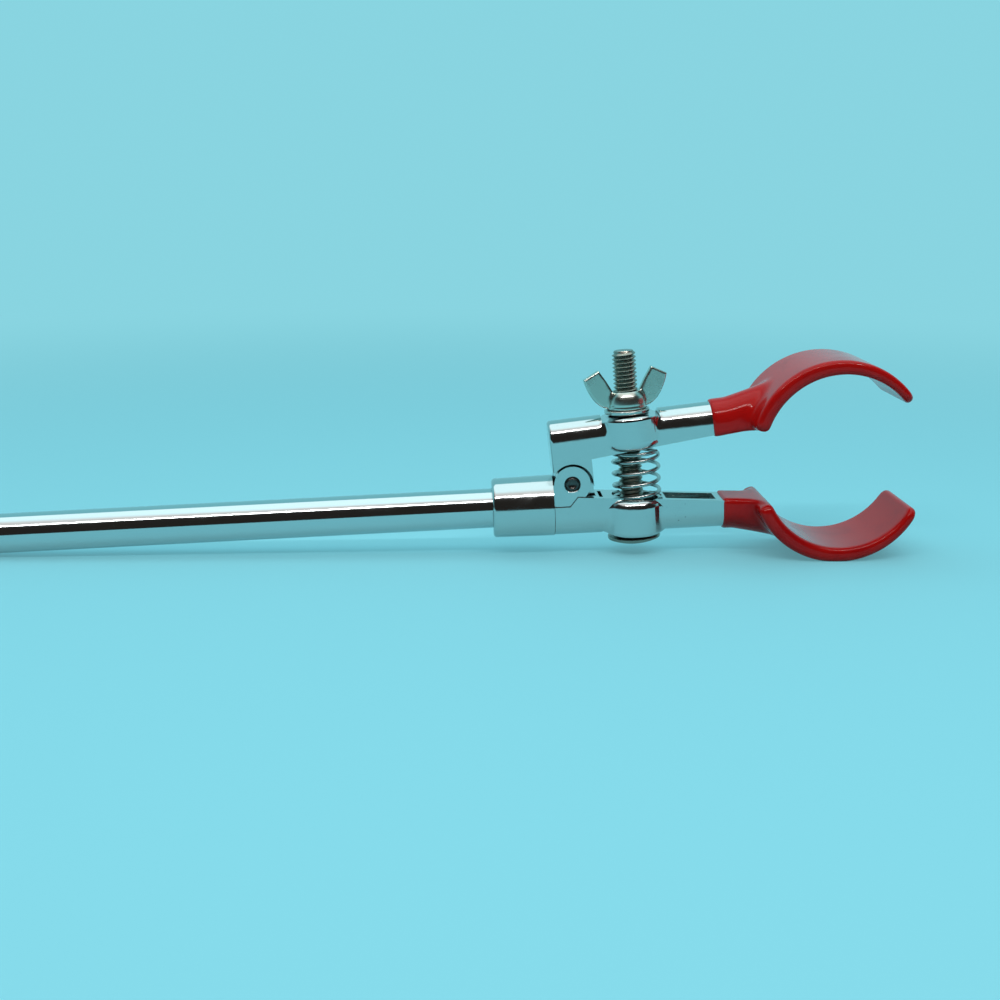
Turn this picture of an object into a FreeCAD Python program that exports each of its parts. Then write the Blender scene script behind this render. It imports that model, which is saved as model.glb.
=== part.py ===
import FreeCAD, Part
import math
import os

# Condenser clamp with two curved jaws on a support rod, modelled as its separate pieces.
# Millimetres. X runs along the rod towards the jaws, Z is up, Y is across the jaws.
# The origin lies on the rod axis, at the face of the socket that the rod enters.

# Support rod and the socket that holds it
rod_diameter = 10.0
rod_exposed_length = 140.0
rod_end_chamfer = 0.8
spigot_diameter = 8.0
spigot_length = 12.0
spigot_chamfer = 0.6
socket_mouth_diameter = 15.0
socket_inner_diameter = 15.5
socket_length = 15.4
socket_edge_radius = 0.9
socket_bore_end_gap = 0.5

# Arm of each jaw: a channel with a round back, closed at its ends
arm_width = 10.2
arm_back_depth = 7.65
rim_at_hinge_x = 25.5
rim_at_hinge_z = 2.4
rim_at_neck_x = 58.8
rim_at_neck_z = 0.0
channel_wall = 1.7
channel_floor = 2.6
channel_end_wall = 1.6
arm_end_radius = 0.9
seam_radius = 0.35

# The grip: two curved blades about one axis when the arms stand parallel
grip_axis_x = 87.3
grip_axis_z = 7.2
grip_radius = 19.4
blade_back_radius = 21.95
blade_back_shift_x = -0.79
blade_back_shift_z = -1.13
blade_width = 25.0
blade_start_angle = 23.0
blade_tip_angle = 32.0
blade_corner_radius = 2.6
blade_edge_radius = 0.45

# Soft dipped coat over each blade and neck
coat_thickness = 0.6
coat_edge_radius = 1.1
coat_start_lower_x = 58.3
coat_start_upper_x = 56.8
neck_flare_x = 61.0
neck_flare_drop = 2.6

# Hinge: two ears on the lower jaw, one tongue on the upper jaw, one pin
pivot_x = 20.3
pivot_z = 6.0
pin_diameter = 3.4
pin_end_chamfer = 0.35
pin_running_gap = 0.05
pin_mouth_chamfer = 0.35
ear_radius = 4.6
ear_outer_y = 4.5
ear_inner_y = 2.25
tongue_side_gap = 0.3
ear_foot_x = 22.5
hinge_floor_z = 0.3
hinge_ramp_x = 19.6
knuckle_gap = 0.7
lug_front_x = 25.7
lug_bottom_z = 2.5
shoulder_gap = 0.35
lug_foot_rise = 3.7
tongue_floor_gap = 0.6

# Pose of the upper jaw as it stands, opened from parallel
jaw_open_angle = 4.2

# Bosses that the clamp bolt passes through
boss_x = 36.0
boss_diameter = 16.0
boss_seat_edge = 1.0
boss_rim_edge = 2.4
boss_foot_radius = 2.0
boss_shoulder_depth = 3.1
lower_boss_bottom_z = -8.0
spring_seat_z = -0.8
upper_boss_shift = 0.6
upper_boss_top_z = 21.6
washer_crown_radius = 28.0
head_crown_radius = 30.0
spot_face_margin = 1.6
slot_side_gap = 0.3
lower_slot_play = 1.35
upper_slot_play = 1.25

# Clamp bolt, washer and wing nut
bolt_diameter = 6.0
bolt_length = 47.2
bolt_tip_chamfer = 0.7
bolt_head_diameter = 13.4
bolt_head_height = 2.3
bolt_head_rim = 0.8
bolt_head_gap = 0.5
washer_diameter = 11.4
washer_bore_gap = 0.2
washer_thickness = 1.0
washer_seat_gap = 0.25
washer_edge_radius = 0.25
nut_base_diameter = 9.8
nut_neck_diameter = 7.2
nut_height = 4.6
nut_rim_height = 0.9
nut_dome_diameter = 9.3
nut_dome_height = 2.9
nut_bore_gap = 0.05
nut_washer_gap = 0.0
nut_turn = 6.0
wing_thickness = 1.9
wing_root_radius = 2.6
wing_inner_radius = 3.4
wing_inner_height = 4.4
wing_tip_inner_radius = 6.6
wing_tip_height = 10.7
wing_tip_outer_radius = 10.7
wing_tip_outer_height = 8.6
wing_bend_radius = 8.7
wing_bend_height = 3.5
wing_foot_radius = 5.0
wing_foot_height = 0.5
wing_edge_radius = 0.35

# Compression spring round the bolt, between the two bosses
spring_wire = 1.0
spring_outer_diameter = 12.0
spring_turns = 5.0
spring_shift = 1.0
spring_side_gap = 0.4
spring_end_gap = 0.08

# Closeness at which two edges count as the same, and how far a cutting form runs past a surface
meeting_tolerance = 0.005
cut_overrun = 1.0

X_AXIS = FreeCAD.Vector(1, 0, 0)
Y_AXIS = FreeCAD.Vector(0, 1, 0)
Z_AXIS = FreeCAD.Vector(0, 0, 1)
PIVOT = FreeCAD.Vector(pivot_x, 0, pivot_z)

# Sizes worked out from the ones above
arm_half = arm_width / 2
boss_radius = boss_diameter / 2
mirror_sum = 2 * grip_axis_z
lug_back_x = socket_length + shoulder_gap
rim_slope = (rim_at_neck_z - rim_at_hinge_z) / (rim_at_neck_x - rim_at_hinge_x)
tongue_half = ear_inner_y - tongue_side_gap
open_radians = math.radians(jaw_open_angle)
spring_reach = spring_outer_diameter / 2 + spring_side_gap
upper_boss_x = boss_x + upper_boss_shift


def point(x, z, y=0.0):
    return FreeCAD.Vector(x, y, z)


def rim_z(x):
    """Height of the lower arm's open rim at a station along the arm."""
    return rim_at_neck_z + (x - rim_at_neck_x) * rim_slope


def slab(outline, y_low, y_high):
    """Solid between two Y planes from a closed outline of XZ points."""
    corners = [point(x, z, y_low) for x, z in outline]
    face = Part.Face(Part.makePolygon(corners + corners[:1]))
    return face.extrude(Y_AXIS * (y_high - y_low))


def disc(radius, x, z, y_low, y_high):
    return Part.makeCylinder(radius, y_high - y_low, point(x, z, y_low), Y_AXIS)


def post(radius, x, z_low, z_high):
    return Part.makeCylinder(radius, z_high - z_low, point(x, z_low), Z_AXIS)


def opened(shape):
    """Turn a piece of the upper jaw from the parallel stance to its open pose."""
    turned = shape.copy()
    turned.rotate(PIVOT, Y_AXIS, -jaw_open_angle)
    return turned


def mirrored(shape):
    """Reflect a lower jaw form in the plane that the grip axis lies in."""
    return shape.mirror(point(0, grip_axis_z), Z_AXIS)


def trough_section(half_width, back_z, top_z, x):
    """Closed outline across X with a round back below and straight sides up to top_z."""
    round_z = back_z + half_width
    left_top = point(x, top_z, -half_width)
    left_side = point(x, round_z, -half_width)
    bottom = point(x, back_z)
    right_side = point(x, round_z, half_width)
    right_top = point(x, top_z, half_width)
    edges = [
        Part.LineSegment(left_top, left_side).toShape(),
        Part.Arc(left_side, bottom, right_side).toShape(),
        Part.LineSegment(right_side, right_top).toShape(),
        Part.LineSegment(right_top, left_top).toShape(),
    ]
    return Part.Wire(edges)


def trough(half_width, back_z, top_z, x_low, x_high):
    """Bar along X with that outline."""
    face = Part.Face(trough_section(half_width, back_z, top_z, x_low))
    return face.extrude(X_AXIS * (x_high - x_low))


def arm_bar(start_x, grow=0.0, end_radius=0.0):
    """Outer form of an arm from a station to the blade, in the lower jaw's place."""
    end_x = neck_end_x()
    back = -arm_back_depth - grow
    half = arm_half + grow
    side_top = back + arm_back_depth + rim_at_hinge_z + arm_half
    straight = trough(half, back, side_top, start_x, neck_flare_x)
    if end_radius > 0:
        end_edges = [edge for edge in straight.Edges if edge.BoundBox.XMax < start_x + end_radius]
        straight = straight.makeFillet(end_radius, end_edges)
    near = trough_section(half, back, side_top, neck_flare_x)
    far = trough_section(half, back - neck_flare_drop, side_top, end_x)
    flare = Part.makeLoft([near, far], True, True)
    under_rim = [
        (start_x, rim_z(start_x) + grow),
        (end_x, rim_z(end_x) + grow),
        (end_x, back - arm_half),
        (start_x, back - arm_half),
    ]
    return straight.fuse(flare).common(slab(under_rim, -arm_width, arm_width))


def neck_end_x():
    """Station where the arm's back runs into the middle of the blade."""
    middle = (grip_radius + blade_back_radius) / 2
    drop = grip_axis_z + arm_back_depth
    return grip_axis_x - math.sqrt(middle ** 2 - drop ** 2)


def blade_back(angle, radius):
    """Point where a ray from the grip axis meets the blade's outer arc."""
    across = math.cos(math.radians(angle))
    up = math.sin(math.radians(angle))
    along = blade_back_shift_x * across + blade_back_shift_z * up
    offset = math.hypot(blade_back_shift_x, blade_back_shift_z)
    reach = along + math.sqrt(radius ** 2 - offset ** 2 + along ** 2)
    return point(grip_axis_x + reach * across, grip_axis_z + reach * up, -blade_width / 2)


def blade(grow=0.0):
    """Curved plate about the grip axis, thinner at its tip, with rounded corners and edges."""
    inner = grip_radius + coat_thickness - grow
    back = blade_back_radius - coat_thickness + grow
    grow_angle = math.degrees(grow / grip_radius)
    start = 180 + blade_start_angle - grow_angle
    end = 360 - blade_tip_angle + grow_angle
    inside = []
    outside = []
    for angle in (start, (start + end) / 2, end):
        across = math.cos(math.radians(angle))
        up = math.sin(math.radians(angle))
        inside.append(point(grip_axis_x + inner * across, grip_axis_z + inner * up, -blade_width / 2))
        outside.append(blade_back(angle, back))
    edges = [
        Part.Arc(inside[0], inside[1], inside[2]).toShape(),
        Part.LineSegment(inside[2], outside[2]).toShape(),
        Part.Arc(outside[2], outside[1], outside[0]).toShape(),
        Part.LineSegment(outside[0], inside[0]).toShape(),
    ]
    inset = coat_thickness - grow
    face = Part.Face(Part.Wire(edges))
    face.translate(Y_AXIS * inset)
    plate = face.extrude(Y_AXIS * (blade_width - 2 * inset))
    tip_length = (outside[2] - inside[2]).Length
    tip_edges = []
    for edge in plate.Edges:
        ends = [vertex.Point for vertex in edge.Vertexes]
        short = len(ends) == 2 and abs(edge.Length - tip_length) < 0.01
        if short and min(corner.x for corner in ends) > grip_axis_x:
            tip_edges.append(edge)
    plate = plate.makeFillet(blade_corner_radius, tip_edges)
    radius = blade_edge_radius if grow == 0 else coat_edge_radius
    return plate.makeFillet(radius, plate.Edges)


def grip_space(grow=0.0):
    """Round space between the blades that stays clear of the neck."""
    inner = grip_radius + coat_thickness - grow
    return disc(inner, grip_axis_x, grip_axis_z, -blade_width, blade_width)


def slot_cut(x, play, z_low, z_high):
    """Long hole that lets the bolt rock along the arm."""
    radius = bolt_diameter / 2 + slot_side_gap
    ends = [post(radius, x - play, z_low, z_high), post(radius, x + play, z_low, z_high)]
    middle = Part.makeBox(2 * play, 2 * radius, z_high - z_low, point(x - play, z_low, -radius))
    return ends[0].fuse([ends[1], middle])


def channel(x_low, x_high):
    """Hollow inside an arm, open at its rim."""
    half = arm_half - channel_wall
    return trough(half, -arm_back_depth + channel_floor, rim_at_hinge_z + arm_half, x_low, x_high)


def seat_cut(x, seat_z, crown_radius, seat_diameter):
    """What is cut away below a boss, leaving the curved seat on which a round piece rocks."""
    reach = seat_diameter / 2 + spot_face_margin
    block = Part.makeBox(2 * reach, 2 * arm_width, arm_width, point(x - reach, seat_z - arm_width / 2, -arm_width))
    return block.cut(disc(crown_radius, x, seat_z + crown_radius, -arm_width, arm_width))


def meeting_edges(form, first, second, top_z):
    """Edges of a fused form where its two bodies meet, below a height."""
    shells = [first.Shells[0], second.Shells[0]]
    meeting = []
    for edge in form.Edges:
        middle = edge.valueAt((edge.FirstParameter + edge.LastParameter) / 2)
        apart = max(shell.distToShape(Part.Vertex(middle))[0] for shell in shells)
        if middle.z < top_z and apart < meeting_tolerance:
            meeting.append(edge)
    return meeting


def boss_shoulder(x, low_z):
    """Part of a boss beside the arm's straight sides: round, with hollow corners and a rounded rim edge."""
    hollow = FreeCAD.Vector(0, arm_half + boss_foot_radius, 0)
    hollow.x = math.sqrt((boss_radius + boss_foot_radius) ** 2 - hollow.y ** 2)
    turn = hollow * (boss_radius / (boss_radius + boss_foot_radius))
    inward = (turn - hollow).normalize() - Y_AXIS
    middle = hollow + inward.normalize() * boss_foot_radius

    def at(side_x, side_y, across, out):
        return point(x + side_x * across, low_z, side_y * out)

    edges = []
    for side in (1, -1):
        edges += [
            Part.Arc(at(-side, side, turn.x, turn.y), at(side, side, 0, boss_radius),
                     at(side, side, turn.x, turn.y)).toShape(),
            Part.Arc(at(side, side, turn.x, turn.y), at(side, side, middle.x, middle.y),
                     at(side, side, hollow.x, arm_half)).toShape(),
            Part.LineSegment(at(side, side, hollow.x, arm_half), at(side, -side, hollow.x, arm_half)).toShape(),
            Part.Arc(at(side, -side, hollow.x, arm_half), at(side, -side, middle.x, middle.y),
                     at(side, -side, turn.x, turn.y)).toShape(),
        ]
    body = Part.Face(Part.Wire(edges)).extrude(Z_AXIS * (rim_z(x) - low_z))
    rim_edges = [edge for edge in body.Edges if edge.BoundBox.ZMin > rim_z(x) - meeting_tolerance
                 and edge.BoundBox.XLength > meeting_tolerance]
    return body.makeFillet(boss_rim_edge, rim_edges)


def arm_with_boss(start_x, end_radius, x, seat_z):
    """Arm with its round boss, which runs into the arm's sides and back in a hollow curve."""
    arm = arm_bar(start_x, 0.0, end_radius)
    low_z = rim_z(x) - boss_shoulder_depth
    body = post(boss_radius, x, seat_z, rim_z(x) + boss_shoulder_depth)
    seat_edges = [edge for edge in body.Edges if edge.BoundBox.ZMax < seat_z + boss_seat_edge]
    body = body.makeFillet(boss_seat_edge, seat_edges)
    form = arm.fuse(body).removeSplitter()
    foot_edges = meeting_edges(form, arm, body, rim_z(x) - boss_seat_edge)
    blended = form.makeFillet(boss_foot_radius, foot_edges)
    below = Part.makeBox(neck_end_x() - start_x, blade_width, blade_width,
                         point(start_x, low_z - blade_width, -blade_width / 2))
    return blended.common(below).fuse([arm, boss_shoulder(x, low_z)]).removeSplitter()


def grip_body(start_x, grow=0.0):
    """Neck and blade of one jaw as a full form, metal alone or grown by its coat."""
    return arm_bar(start_x, grow).fuse(blade(grow)).cut(grip_space(grow))


def jaw_arm(start_x, end_radius, coat_start_x, boss_centre_x, seat_z):
    """Arm, boss, neck and blade of one jaw, with its two hollows."""
    arm = arm_with_boss(start_x, end_radius, boss_centre_x, seat_z)
    metal = arm.fuse(blade()).cut(grip_space())
    boss_reach = spring_reach + channel_end_wall
    hollow_back = channel(rim_at_hinge_x + channel_end_wall, boss_centre_x - boss_reach)
    hollow_front = channel(boss_centre_x + boss_reach, coat_start_x - channel_end_wall)
    return metal.cut(hollow_back.fuse(hollow_front))


def socket():
    """Round socket with its mouth at the origin."""
    barrel = Part.makeCone(socket_mouth_diameter / 2, socket_inner_diameter / 2, socket_length, point(0, 0), X_AXIS)
    mouth = [edge for edge in barrel.Edges if abs(edge.BoundBox.XMax) < 0.01 and edge.BoundBox.XLength < 0.01]
    return barrel.makeFillet(socket_edge_radius, mouth)


def hinge_ears():
    """Two ears that carry the hinge pin."""
    ears = []
    for y_low, y_high in ((-ear_outer_y, -ear_inner_y), (ear_inner_y, ear_outer_y)):
        foot = slab([(socket_length, -arm_half), (ear_foot_x, -arm_half), (ear_foot_x, pivot_z - ear_radius / 2),
                     (pivot_x + ear_radius, pivot_z), (socket_length, pivot_z)], y_low, y_high)
        ears.append(foot.fuse(disc(ear_radius, pivot_x, pivot_z, y_low, y_high)))
    return ears


def pin_hole(half_length):
    """Hole for the hinge pin, with a small lead-in at each end."""
    radius = pin_diameter / 2 + pin_running_gap
    hole = disc(radius, pivot_x, pivot_z, -half_length, half_length)
    wide = radius + pin_mouth_chamfer
    lead_left = Part.makeCone(wide, radius, pin_mouth_chamfer, point(pivot_x, pivot_z, -half_length), Y_AXIS)
    lead_right = Part.makeCone(wide, radius, pin_mouth_chamfer, point(pivot_x, pivot_z, half_length), -Y_AXIS)
    return hole.fuse([lead_left, lead_right])


def lower_jaw():
    """Fixed jaw casting: socket, hinge ears, bolt boss, arm and blade."""
    metal = jaw_arm(socket_length, seam_radius, coat_start_lower_x, boss_x, lower_boss_bottom_z)
    step = slab([(socket_length, hinge_floor_z), (hinge_ramp_x, hinge_floor_z),
                 (hinge_ramp_x + rim_at_hinge_z - hinge_floor_z, rim_z(hinge_ramp_x)),
                 (hinge_ramp_x, arm_width), (socket_length, arm_width)], -arm_width, arm_width)
    metal = metal.cut(step)
    recess = post(spring_reach, boss_x + spring_shift, spring_seat_z, rim_at_hinge_z + arm_half)
    head_seat = seat_cut(boss_x, lower_boss_bottom_z, head_crown_radius, bolt_head_diameter)
    metal = metal.fuse([socket()] + hinge_ears())
    metal = metal.cut([recess, head_seat])
    swing = math.hypot(lug_front_x - pivot_x, pivot_z - lug_bottom_z) + tongue_floor_gap
    pocket = disc(swing, pivot_x, pivot_z, -ear_inner_y, ear_inner_y)
    behind = slab([(0, -arm_width), (socket_length, -arm_width), (socket_length, arm_width), (0, arm_width)],
                  -arm_width, arm_width)
    bore_depth = spigot_length + socket_bore_end_gap
    bore = Part.makeCylinder(spigot_diameter / 2, bore_depth, point(0, 0), X_AXIS)
    slot = slot_cut(boss_x, lower_slot_play, -arm_width, arm_half)
    metal = metal.cut([pocket.cut(behind), bore, slot, pin_hole(ear_outer_y)])
    return metal.removeSplitter()


def upper_jaw_parallel():
    """Moving jaw casting in its parallel stance: lug, tongue, bolt boss, arm and blade."""
    seat_z = mirror_sum - upper_boss_top_z
    arm = mirrored(jaw_arm(lug_back_x, arm_end_radius, coat_start_upper_x, upper_boss_x, seat_z))
    shelf_z = mirror_sum - rim_at_hinge_z
    fill = mirrored(trough(arm_half - channel_wall / 2, -arm_back_depth + channel_wall, rim_at_hinge_z,
                           lug_back_x + arm_end_radius, lug_front_x))
    back_line = slab([(lug_back_x, shelf_z), (lug_front_x, shelf_z), (lug_front_x, shelf_z + arm_width),
                      (lug_back_x, shelf_z + arm_width)], -arm_width, arm_width)
    lug = slab([(lug_back_x, pivot_z + lug_foot_rise), (lug_front_x, pivot_z + lug_foot_rise - ear_radius),
                (lug_front_x, shelf_z + channel_wall), (lug_back_x, shelf_z + channel_wall)], -arm_half, arm_half)
    back_edges = [edge for edge in lug.Edges if edge.BoundBox.XMax < lug_back_x + arm_end_radius
                  and edge.BoundBox.YLength < arm_end_radius]
    lug = lug.makeFillet(arm_end_radius, back_edges)
    knuckle = disc(ear_radius + knuckle_gap, pivot_x, pivot_z, -arm_width, arm_width)
    tongue = slab([(pivot_x, lug_bottom_z), (lug_front_x, lug_bottom_z), (lug_front_x, shelf_z),
                   (pivot_x, shelf_z)], -tongue_half, tongue_half)
    tongue = tongue.fuse(disc(ear_radius, pivot_x, pivot_z, -tongue_half, tongue_half))
    washer_seat = mirrored(seat_cut(upper_boss_x, seat_z, washer_crown_radius, washer_diameter))
    metal = arm.fuse([fill.common(back_line), lug.cut(knuckle)])
    metal = metal.fuse(tongue).cut(washer_seat)
    slot = slot_cut(boss_x, upper_slot_play, grip_axis_z, mirror_sum + arm_width)
    metal = metal.cut([slot, pin_hole(tongue_half)])
    return metal.removeSplitter()


def grip_coat(start_x):
    """Soft coat over a blade and its neck, hollow where the metal lies."""
    return grip_body(start_x, coat_thickness).cut(grip_body(start_x - channel_end_wall))


def support_rod():
    """Round bar with a chamfered free end and a spigot that fills the socket."""
    bar = Part.makeCylinder(rod_diameter / 2, rod_exposed_length, point(-rod_exposed_length, 0), X_AXIS)
    free_end = [edge for edge in bar.Edges if edge.BoundBox.XMax < -rod_exposed_length + 0.01]
    bar = bar.makeChamfer(rod_end_chamfer, free_end)
    spigot = Part.makeCylinder(spigot_diameter / 2, spigot_length, point(0, 0), X_AXIS)
    inner_end = [edge for edge in spigot.Edges if edge.BoundBox.XMin > spigot_length - 0.01]
    return bar.fuse(spigot.makeChamfer(spigot_chamfer, inner_end)).removeSplitter()


def hinge_pin():
    """Plain pin through both ears and the tongue."""
    pin = disc(pin_diameter / 2, pivot_x, pivot_z, -ear_outer_y, ear_outer_y)
    ends = [edge for edge in pin.Edges if edge.BoundBox.YLength < 0.01]
    return pin.makeChamfer(pin_end_chamfer, ends)


def bolt_seat():
    """Middle of the bolt head's seat, about which the bolt rocks."""
    return point(boss_x, lower_boss_bottom_z - bolt_head_gap)


def bolt_lean():
    """Angle that carries the bolt's axis through the middle of the upper boss."""
    seat = bolt_seat()
    middle = point(boss_x, (mirror_sum - rim_z(upper_boss_x) + upper_boss_top_z) / 2)
    held = FreeCAD.Placement(FreeCAD.Vector(), FreeCAD.Rotation(Y_AXIS, -jaw_open_angle), PIVOT).multVec(middle)
    return math.degrees(math.atan2(seat.x - held.x, held.z - seat.z))


def leaned(shape):
    """Lean a piece on the bolt with the bolt, about the bolt's seat."""
    turned = shape.copy()
    turned.rotate(bolt_seat(), Y_AXIS, -bolt_lean())
    return turned


def washer_height():
    """Distance along the bolt from its seat to the underside of the washer."""
    seat = bolt_seat()
    crown = point(upper_boss_x, upper_boss_top_z - washer_crown_radius)
    held = FreeCAD.Placement(FreeCAD.Vector(), FreeCAD.Rotation(Y_AXIS, -jaw_open_angle), PIVOT).multVec(crown)
    lean = math.radians(bolt_lean())
    along = FreeCAD.Vector(-math.sin(lean), 0, math.cos(lean))
    return (held - seat).dot(along) + washer_crown_radius + washer_seat_gap


def clamp_bolt():
    """Bolt with a low domed head below and a chamfered tip above."""
    seat = bolt_seat()
    shank = post(bolt_diameter / 2, boss_x, seat.z, seat.z + bolt_length)
    tip = [edge for edge in shank.Edges if edge.BoundBox.ZMin > seat.z + bolt_length - 0.01]
    shank = shank.makeChamfer(bolt_tip_chamfer, tip)
    radius = bolt_head_diameter / 2
    dome_height = bolt_head_height - bolt_head_rim
    rim_z_low = seat.z - bolt_head_rim
    top = point(boss_x, seat.z)
    rim_top = point(boss_x + radius, seat.z)
    rim_low = point(boss_x + radius, rim_z_low)
    bottom = point(boss_x, seat.z - bolt_head_height)
    dome_radius = (radius ** 2 + dome_height ** 2) / (2 * dome_height)
    half_angle = math.asin(radius / dome_radius) / 2
    dome_middle = point(boss_x + dome_radius * math.sin(half_angle),
                        bottom.z + dome_radius * (1 - math.cos(half_angle)))
    edges = [
        Part.LineSegment(top, rim_top).toShape(),
        Part.LineSegment(rim_top, rim_low).toShape(),
        Part.Arc(rim_low, dome_middle, bottom).toShape(),
        Part.LineSegment(bottom, top).toShape(),
    ]
    head = Part.Face(Part.Wire(edges)).revolve(top, Z_AXIS, 360)
    return leaned(shank.fuse(head).removeSplitter())


def flat_washer():
    """Washer between the wing nut and the domed boss."""
    low = bolt_seat().z + washer_height()
    ring = post(washer_diameter / 2, boss_x, low, low + washer_thickness)
    outer = [edge for edge in ring.Edges if edge.BoundBox.ZLength < 0.01]
    ring = ring.makeFillet(washer_edge_radius, outer)
    bore = post(bolt_diameter / 2 + washer_bore_gap, boss_x, low - cut_overrun, low + washer_thickness + cut_overrun)
    return leaned(ring.cut(bore))


def wing(base_z, side):
    """One flat wing of the nut, rising outwards from the hub."""
    foot = point(boss_x + side * wing_foot_radius, base_z + wing_foot_height)
    bend = point(boss_x + side * wing_bend_radius, base_z + wing_bend_height)
    tip_outer = point(boss_x + side * wing_tip_outer_radius, base_z + wing_tip_outer_height)
    tip_inner = point(boss_x + side * wing_tip_inner_radius, base_z + wing_tip_height)
    root_top = point(boss_x + side * wing_inner_radius, base_z + wing_inner_height)
    hub_top = point(boss_x + side * wing_root_radius, base_z + wing_inner_height)
    hub_low = point(boss_x + side * wing_root_radius, base_z + wing_foot_height)
    edges = [
        Part.Arc(foot, bend, tip_outer).toShape(),
        Part.LineSegment(tip_outer, tip_inner).toShape(),
        Part.LineSegment(tip_inner, root_top).toShape(),
        Part.LineSegment(root_top, hub_top).toShape(),
        Part.LineSegment(hub_top, hub_low).toShape(),
        Part.LineSegment(hub_low, foot).toShape(),
    ]
    face = Part.Face(Part.Wire(edges))
    plate = face.extrude(Y_AXIS * wing_thickness)
    plate.translate(Y_AXIS * (-wing_thickness / 2))
    return plate.makeFillet(wing_edge_radius, plate.Edges)


def wing_nut():
    """Wing nut: domed hub on a thin rim, with two wings."""
    base_z = bolt_seat().z + washer_height() + washer_thickness + nut_washer_gap
    rim = post(nut_base_diameter / 2, boss_x, base_z, base_z + nut_rim_height)
    rim_top = point(boss_x, base_z + nut_rim_height)
    hub_foot = point(boss_x + nut_base_diameter / 2, rim_top.z)
    hub_side = point(boss_x + nut_dome_diameter / 2, base_z + nut_dome_height)
    hub_neck = point(boss_x + nut_neck_diameter / 2, base_z + nut_height)
    hub_top = point(boss_x, hub_neck.z)
    edges = [
        Part.LineSegment(rim_top, hub_foot).toShape(),
        Part.Arc(hub_foot, hub_side, hub_neck).toShape(),
        Part.LineSegment(hub_neck, hub_top).toShape(),
        Part.LineSegment(hub_top, rim_top).toShape(),
    ]
    hub = Part.Face(Part.Wire(edges)).revolve(rim_top, Z_AXIS, 360)
    body = rim.fuse([hub, wing(base_z, 1), wing(base_z, -1)])
    bore = post(bolt_diameter / 2 + nut_bore_gap, boss_x, base_z - cut_overrun, base_z + wing_tip_height)
    body = body.cut(bore).removeSplitter()
    body.rotate(point(boss_x, base_z), Z_AXIS, nut_turn)
    return leaned(body)


def compression_spring():
    """Coil of round wire, leaning half as much as the upper boss does."""
    radius = (spring_outer_diameter - spring_wire) / 2
    centre_x = boss_x + spring_shift
    arm = point(centre_x, mirror_sum - rim_z(upper_boss_x)) - PIVOT
    seat_z = pivot_z + arm.x * math.sin(open_radians) + arm.z * math.cos(open_radians)
    half_lean = jaw_open_angle / 2
    edge_loss = 2 * (radius + spring_wire / 2) * math.tan(math.radians(half_lean))
    height = seat_z - spring_seat_z - edge_loss - spring_wire - 2 * spring_end_gap
    helix = Part.makeHelix(height / spring_turns, height, radius)
    profile = Part.Wire(Part.makeCircle(spring_wire / 2, FreeCAD.Vector(radius, 0, 0), Y_AXIS))
    coil = Part.Wire(helix.Edges).makePipeShell([profile], True, True)
    coil.translate(FreeCAD.Vector(0, 0, -height / 2))
    coil.rotate(FreeCAD.Vector(), Y_AXIS, -half_lean)
    middle_z = (seat_z + spring_seat_z) / 2
    coil.translate(point(centre_x, middle_z))
    return coil


def write_parts():
    """Build every piece and write one STEP file for each."""
    pieces = {
        "support_rod": support_rod(),
        "lower_jaw": lower_jaw(),
        "lower_grip_coat": grip_coat(coat_start_lower_x),
        "hinge_pin": hinge_pin(),
        "compression_spring": compression_spring(),
        "upper_jaw": opened(upper_jaw_parallel()),
        "upper_grip_coat": opened(mirrored(grip_coat(coat_start_upper_x))),
        "clamp_bolt": clamp_bolt(),
        "flat_washer": flat_washer(),
        "wing_nut": wing_nut(),
    }
    os.makedirs("parts", exist_ok=True)
    for name, shape in pieces.items():
        solids = shape.Solids
        print(name, "solids", len(solids), "valid", shape.isValid(), "volume", round(shape.Volume, 2))
        shape.exportStep(os.path.join("parts", name + ".step"))
    print("bolt lean", round(bolt_lean(), 4), "washer height", round(washer_height(), 4))


write_parts()
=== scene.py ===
"""Condenser clamp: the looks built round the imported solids.

Metres. X runs along the rod towards the jaws, Z is up and Y is across the jaws.
The origin lies on the rod's axis at the face of its socket.
"""

from __future__ import annotations

import logging
import math
from dataclasses import dataclass
from enum import Enum
from typing import Any, Callable, Iterable

import bmesh
import bpy
from mathutils import Matrix, Vector

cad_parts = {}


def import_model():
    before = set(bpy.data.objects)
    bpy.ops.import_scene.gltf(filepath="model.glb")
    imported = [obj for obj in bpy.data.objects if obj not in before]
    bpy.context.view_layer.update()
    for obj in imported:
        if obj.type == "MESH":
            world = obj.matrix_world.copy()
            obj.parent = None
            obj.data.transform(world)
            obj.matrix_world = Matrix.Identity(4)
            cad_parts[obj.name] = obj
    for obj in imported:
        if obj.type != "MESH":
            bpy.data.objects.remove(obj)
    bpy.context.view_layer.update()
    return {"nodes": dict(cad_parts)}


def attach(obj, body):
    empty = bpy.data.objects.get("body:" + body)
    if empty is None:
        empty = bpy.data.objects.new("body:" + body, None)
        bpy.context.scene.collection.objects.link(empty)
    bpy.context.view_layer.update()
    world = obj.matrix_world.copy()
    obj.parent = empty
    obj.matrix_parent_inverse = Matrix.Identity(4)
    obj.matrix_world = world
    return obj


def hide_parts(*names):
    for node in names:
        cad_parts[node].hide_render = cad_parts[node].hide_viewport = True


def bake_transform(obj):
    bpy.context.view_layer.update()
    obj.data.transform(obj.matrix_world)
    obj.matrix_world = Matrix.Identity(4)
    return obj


LOG = logging.getLogger("condenser_clamp")

MM = 0.001

Point = tuple[float, float, float]
Colour = tuple[float, float, float, float]


class Body(str, Enum):
    """Rigid bodies of the frame that the new pieces ride on."""

    FRAME = "frame"
    UPPER_JAW = "upper_jaw"
    BOLT = "bolt"
    WING_NUT = "wing_nut"


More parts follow.
